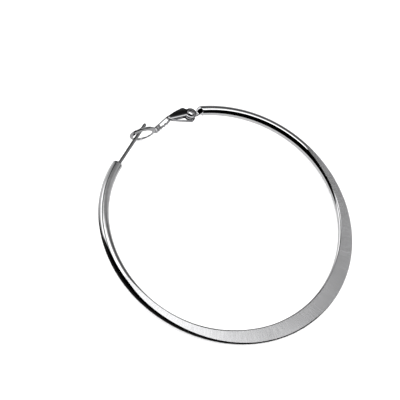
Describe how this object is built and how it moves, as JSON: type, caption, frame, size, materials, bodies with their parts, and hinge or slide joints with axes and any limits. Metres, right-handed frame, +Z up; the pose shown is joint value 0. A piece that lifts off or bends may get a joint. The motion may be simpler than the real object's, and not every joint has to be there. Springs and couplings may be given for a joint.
{
  "type": "hoop earring",
  "caption": "Round steel wire hoop earring with a flat crescent, an ear post and a spring clip lever whose ring closes over the post.",
  "frame": {"origin": "middle of the outline from above, on the surface that the earring lies on", "axes": "+Z up, across the hoop as it lies on its side; +Y from the crescent toward the clasp; +X toward the hinge's side of the clasp"},
  "size_m": [0.052, 0.0528, 0.0055],
  "materials": {
    "polished_steel": "mirror polished round wire, satin brushed on the flat crescent",
    "lever_steel": "polished pressed sheet",
    "rivet_steel": "polished domed heads",
    "spring_steel": "rolled spring strip"
  },
  "bodies": {
    "hoop": {"hoop_wire": "polished_steel"},
    "clip": {"clip_lever": "lever_steel", "hinge_rivet": "rivet_steel", "leaf_spring": "spring_steel"}
  },
  "joints": [
    {"name": "lever_hinge", "type": "hinge", "parent": "hoop", "child": "clip", "pos_m": [0.01298, 0.02106, 0.00262], "axis": [0.0037, 0.0445, -0.999], "range_deg": [0, 80]}
  ]
}
